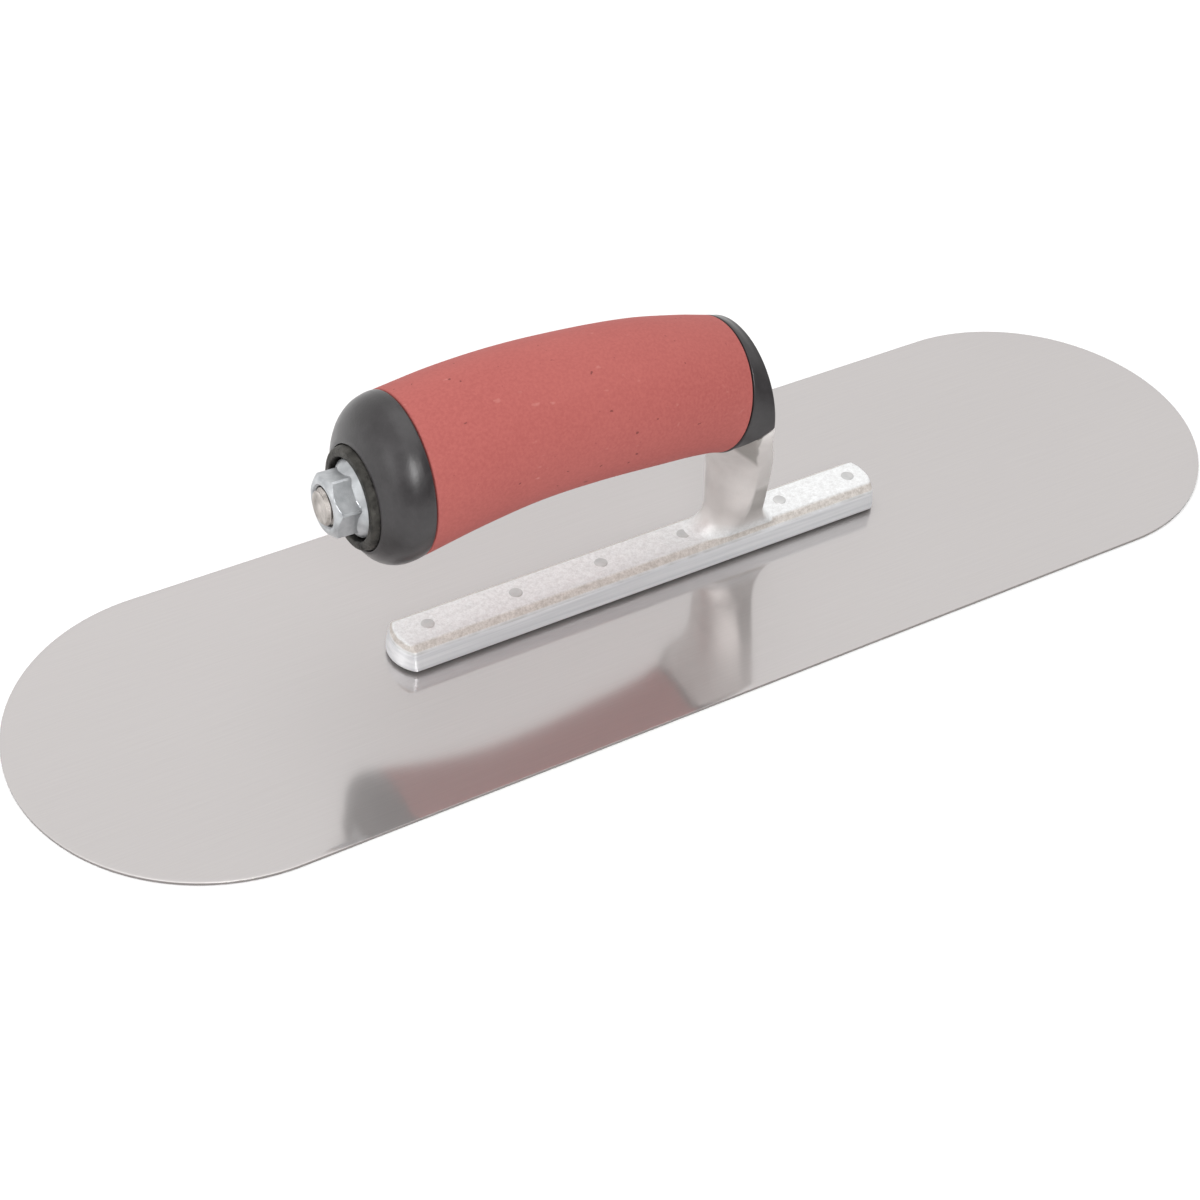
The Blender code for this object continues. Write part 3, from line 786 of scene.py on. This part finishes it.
def rod_grid(columns=36):
    """A plain shank, then a thread to the free end.  On the thread the radius goes up and down like a
    triangle wave, as the sum of the distance over the pitch and the angle over a full turn goes on."""
    thread = np.arange(THREAD_START, ROD_END + 0.1, -PITCH / 10)
    along = np.concatenate([[ROD_INNER, ROD_INNER - 0.8, -40.0, THREAD_START + 1.0], thread, [ROD_END]])
    angle = np.linspace(0.0, 2 * np.pi, columns, endpoint=False)
    turns = along[:, None] / PITCH + angle[None, :] / (2 * np.pi)
    wave = np.abs(2 * (turns - np.floor(turns)) - 1)
    fade = np.clip((THREAD_START - along) / 1.5, 0.0, 1.0)[:, None]
    limit = np.interp(-along, [2.0, 2.8, 115.7, 116.6], [3.9, ROD_RADIUS, ROD_RADIUS, 3.95])[:, None]
    radius = np.minimum(ROD_RADIUS - THREAD_DEPTH * wave * fade, limit)
    return from_handle(along[:, None], radius * np.cos(angle), radius * np.sin(angle))


piece("rod", grid_mesh("rod", rod_grid()), ROD_STEEL, "rod_steel", "threaded_rod")
print("rod end from the nut's face, mm:", round(-ROD_END + NUT_SEAT - NUT_HEIGHT, 1))

# %% [markdown]
# ## The casting
#
# The bar, the post and the boss are three simple closed surfaces that run into each other.  In the mould
# their joints are filleted, since sharp inner corners crack.  A voxel remesh turns the three into one skin,
# and a few passes of smoothing then ease every edge and corner alike, which is just how a tumbled casting
# looks.

# %% Bar
BAR_LENGTH, BAR_CENTRE, BAR_END_RADIUS = 149.0, -4.0, 10.0
# half width, height, how far each end is drawn in
BAR_LEVELS = np.array([
    (6.7, 1.1, 1.0),
    (7.8, 1.9, 0.0),
    (7.75, 2.4, 0.0),
    (6.95, 7.1, 0.8),
    (6.5, 7.4, 1.3),
    (4.7, 9.0, 1.8),
    (4.1, 9.2, 2.4),
])


def bar_grid():
    """At each level, straight sides and two ends that are arcs of one radius: the angle from the bar's line
    runs as far as the half width allows, x = tip - radius (1 - cos a) and y = radius sin a."""
    width, height, drawn_in = (BAR_LEVELS[:, k][:, None] for k in range(3))
    reach = np.arcsin(width / BAR_END_RADIUS)
    a = reach * np.linspace(-1.0, 1.0, 25)[None, :]
    x = BAR_LENGTH / 2 - drawn_in - BAR_END_RADIUS * (1 - np.cos(a))
    y = BAR_END_RADIUS * np.sin(a)
    side = np.concatenate([np.stack([BAR_CENTRE + x, y], -1), np.stack([BAR_CENTRE - x, -y], -1)], 1)
    level = np.broadcast_to(height[..., None], side.shape[:2] + (1,))
    return np.concatenate([side, level], -1)


# %% Post
FLUSH_START, FLUSH_END = 36.0, 48.0
# height, x of the rounded spine, x of the side's rear edge, x of the front, half width
POST_LEVELS = np.array([
    (6.0, 2.0, 15.5, 37.5, 5.6),
    (8.2, 6.5, 18.3, 35.2, 6.0),
    (9.8, 11.0, 20.6, 33.2, 6.1),
    (11.8, 14.4, 22.0, 31.4, 6.4),
    (14.5, 15.9, 22.7, 30.0, 7.1),
    (18.5, 16.3, 22.9, 29.0, 8.5),
    (23.0, 16.1, 23.3, 28.6, 9.4),
    (28.0, 15.8, 23.5, 28.4, 10.1),
    (32.0, 15.3, 23.2, 28.0, 10.8),
    (35.5, 14.2, 22.5, 27.4, 11.6),
    (38.0, 12.4, 21.6, 26.7, 12.5),
    (39.8, 10.7, 20.8, 25.9, 13.3),
    (41.5, 10.0, 19.9, 25.0, 14.3),
    (44.5, 9.9, 17.9, 23.0, 16.3),
    (48.0, 10.2, 16.2, 21.4, 18.0),
    (51.5, 11.0, 15.6, 20.5, 18.9),
    (54.8, 12.0, 15.5, 20.2, 19.2),
])


def post_grid(rows=90):
    """At each height: a front with a slight crown, flat narrow sides, and a finger side that bulges to its
    spine as 1 - |across| ^ 2.4, where across runs from 1 on one side to -1 on the other.  Between FLUSH_START
    and FLUSH_END the rear is drawn in by a twentieth, to lie flush with the collar."""
    height = np.linspace(POST_LEVELS[0, 0], POST_LEVELS[-1, 0], rows)
    level = smooth(POST_LEVELS, height)
    spine, edge, front, half = (level[:, k][:, None] for k in (1, 2, 3, 4))
    across = np.linspace(1.0, -1.0, 41)[None, :]
    finger_x = edge - (edge - spine) * (1 - np.abs(across) ** 2.4)
    front_across = np.linspace(-1.0, 1.0, 17)[None, :]
    corner = np.minimum(1.0, half / 3)
    front_x = front - corner * 0.9 * np.abs(front_across) ** 6 + 0.4 * (1 - front_across**2)
    flush = 1.0 - np.interp(height, [FLUSH_START, FLUSH_END], [0.0, 0.05])[:, None]
    x = np.concatenate([finger_x, front_x], 1)
    y = np.concatenate([half * flush * across, half * front_across], 1)
    z = np.broadcast_to(height[:, None], x.shape)
    return np.stack([x, y, z], -1)


# %% Boss and stub
BOSS_RADIUS, BOSS_HEIGHT = 13.0, 4.2


def boss_profile():
    """A low dome: the radius is that of the boss times (1 - h^3)^0.4, as h goes from 0 to 1."""
    h = np.sin(np.linspace(0.0, np.pi / 2, 20))
    dome = np.stack([BOSS_HEIGHT * h, BOSS_RADIUS * np.maximum(1 - h**3, 0.0005) ** 0.4], -1)
    return np.concatenate([[(-2.0, BOSS_RADIUS)], dome])


# %% One skin for the casting
VOXEL = 0.00045  # in metres


def casting_mesh():
    """Bar, post and boss in one skin, less the bed that the core lies in, plus the stub inside the core."""
    parts = [
        grid_mesh("bar", bar_grid()),
        grid_mesh("post", post_grid()),
        grid_mesh("boss", turned(boss_profile(), 96)),
    ]
    points, faces, start = [], [], 0
    for part in parts:
        outward(part)
        points += [tuple(v.co) for v in part.vertices]
        faces += [[start + i for i in polygon.vertices] for polygon in part.polygons]
        start = len(points)
    joined = bpy.data.meshes.new("casting")
    joined.from_pydata(points, [], faces)
    work = temporary("casting", joined)
    remesh = work.modifiers.new("one skin", "REMESH")
    remesh.mode, remesh.voxel_size = "VOXEL", VOXEL
    ease = work.modifiers.new("ease", "SMOOTH")
    ease.factor, ease.iterations = 0.5, 2
    skin = baked(work)
    bed = grid_mesh("bed", skin_rings(SKIN, [0.0, 1.2, 2.5, 4.0, 6.0, 8.0, 11.0, 16.0, 22.0], -GAP))
    skin = boolean(skin, "DIFFERENCE", bevelled(bed, 0.0))
    stub = np.concatenate([straight_ring(a, STUB_HALF, 1.0, 48) for a in (1.0, -19.4, -STUB_LENGTH)])
    return boolean(skin, "UNION", grid_mesh("stub", stub))


piece("casting", casting_mesh(), CAST_ALUMINIUM, "cast_aluminium", "mounting_casting", sharp=50)

# %% [markdown]
# ## Rivets
#
# Each rivet is closed from below, where its head fills a countersink in the blade, and its other end is
# peened and ground off level with the bar.  It shows as a disc with an eased rim.

# %% Six rivets
BAR_TOP = 9.2
PROUD = 0.16  # how far the peened end stands above the bar, so that it shows


def rivet_grid(x):
    """A profile of (height, radius) turned about an upright line at x, with its corners eased."""
    corners = [
        (0.0, 0.05),
        (0.0, RIVET_HEAD),
        (BLADE_THICKNESS, RIVET_RADIUS),
        (BAR_TOP + PROUD * 0.75, RIVET_RADIUS),
        (BAR_TOP + PROUD, 0.05),
    ]
    heights, radii = rounded(corners, [0.08, 0.1, 0.25], 5).T
    return upright_rings(x, heights, radii)


for number, x in enumerate(rivet_x, 1):
    rivet_mesh = grid_mesh(f"rivet_{number}", rivet_grid(x))
    piece(f"rivet_{number}", rivet_mesh, RIVET_STEEL, "rivet_steel", f"blade_rivet_{number}")

# %% [markdown]
# ## Floor, light and camera
#
# Polished metal shows what is round it more than its own colour, so the light is a room: a pale sky that is
# bright behind and overhead and dimmer in front, where a maker would stand.  A large light hangs overhead,
# one in front draws the highlight on the butt, and a weak one stands on the left.  None is where the blade
# would mirror it into the camera.

# %% Floor
def floor_finish():
    finish = Finish("floor")
    return finish.shade(Base_Color=(0.90, 0.90, 0.90), Roughness=0.9, Specular_IOR_Level=0.1)


SIDE, BELOW = 4.0, -1e-4  # half the floor's width, and its height: just clear of the blade
corners = [(x, y, BELOW) for x, y in ((-SIDE, -SIDE), (SIDE, -SIDE), (SIDE, SIDE), (-SIDE, SIDE))]
floor_mesh = bpy.data.meshes.new("floor")
floor_mesh.from_pydata(corners, [], [(0, 1, 2, 3)])
floor_mesh.materials.append(floor_finish())
floor = bpy.data.objects.new("floor", floor_mesh)
bpy.context.scene.collection.objects.link(floor)

# %% Light
def soft_light(name, place, target, size, power):
    """A square area light at a place in metres, turned towards a target."""
    data = bpy.data.lights.new(name, "AREA")
    data.shape, data.size, data.energy = "SQUARE", size, power
    light = bpy.data.objects.new(name, data)
    light.location = place
    light.rotation_euler = (Vector(target) - Vector(place)).to_track_quat("-Z", "Y").to_euler()
    bpy.context.scene.collection.objects.link(light)


SKY_DIM, SKY_BRIGHT = 0.30, 1.0
SKY_DIM_Y, SKY_BRIGHT_Y = -0.75, -0.05  # the Y of a direction where the sky is dimmest, and where it is full
world = bpy.data.worlds.new("room")
world.use_nodes = True
room = world.node_tree
direction = room.nodes.new("ShaderNodeTexCoord").outputs["Generated"]
split = room.nodes.new("ShaderNodeSeparateXYZ")
fall = room.nodes.new("ShaderNodeMapRange")
fall.interpolation_type = "SMOOTHSTEP"
fall.inputs["From Min"].default_value, fall.inputs["From Max"].default_value = SKY_DIM_Y, SKY_BRIGHT_Y
fall.inputs["To Min"].default_value, fall.inputs["To Max"].default_value = SKY_DIM, SKY_BRIGHT
room.links.new(direction, split.inputs["Vector"])
room.links.new(split.outputs["Y"], fall.inputs["Value"])
room.links.new(fall.outputs["Result"], room.nodes["Background"].inputs["Strength"])
room.nodes["Background"].inputs["Color"].default_value = (1.0, 0.995, 0.99, 1.0)
bpy.context.scene.world = world
soft_light("overhead", (0.10, 0.35, 1.80), (0.0, 0.0, 0.0), 1.7, 9.0)
soft_light("key", (-0.46, -0.84, 0.84), (-0.08, 0.0, 0.06), 0.42, 8.0)
soft_light("left", (-1.30, 0.10, 0.50), (0.0, 0.0, 0.05), 0.5, 1.5)
bpy.context.scene.view_settings.view_transform = "Standard"

# %% Camera
# The camera stands to the left of the nut end and looks down along the blade.
CAMERA_AZIMUTH, CAMERA_ELEVATION, CAMERA_ROLL = (math.radians(v) for v in (34.39, 42.18, 4.93))
CAMERA_PLACE = Vector((-0.2775, -0.3789, 0.4134))
look = Vector((
    math.sin(CAMERA_AZIMUTH) * math.cos(CAMERA_ELEVATION),
    math.cos(CAMERA_AZIMUTH) * math.cos(CAMERA_ELEVATION),
    -math.sin(CAMERA_ELEVATION),
))
level_right = Vector((math.cos(CAMERA_AZIMUTH), -math.sin(CAMERA_AZIMUTH), 0.0))
level_up = level_right.cross(look)
right = math.cos(CAMERA_ROLL) * level_right + math.sin(CAMERA_ROLL) * level_up
up = math.cos(CAMERA_ROLL) * level_up - math.sin(CAMERA_ROLL) * level_right
camera_data = bpy.data.cameras.new("camera")
camera_data.lens, camera_data.sensor_width = 70.26, 36.0
camera_data.shift_x, camera_data.shift_y = 0.0059, -0.00175
camera = bpy.data.objects.new("camera", camera_data)
turn = Matrix((right, up, -look)).transposed().to_4x4()
camera.matrix_world = Matrix.Translation(CAMERA_PLACE) @ turn
bpy.context.scene.collection.objects.link(camera)
bpy.context.scene.camera = camera
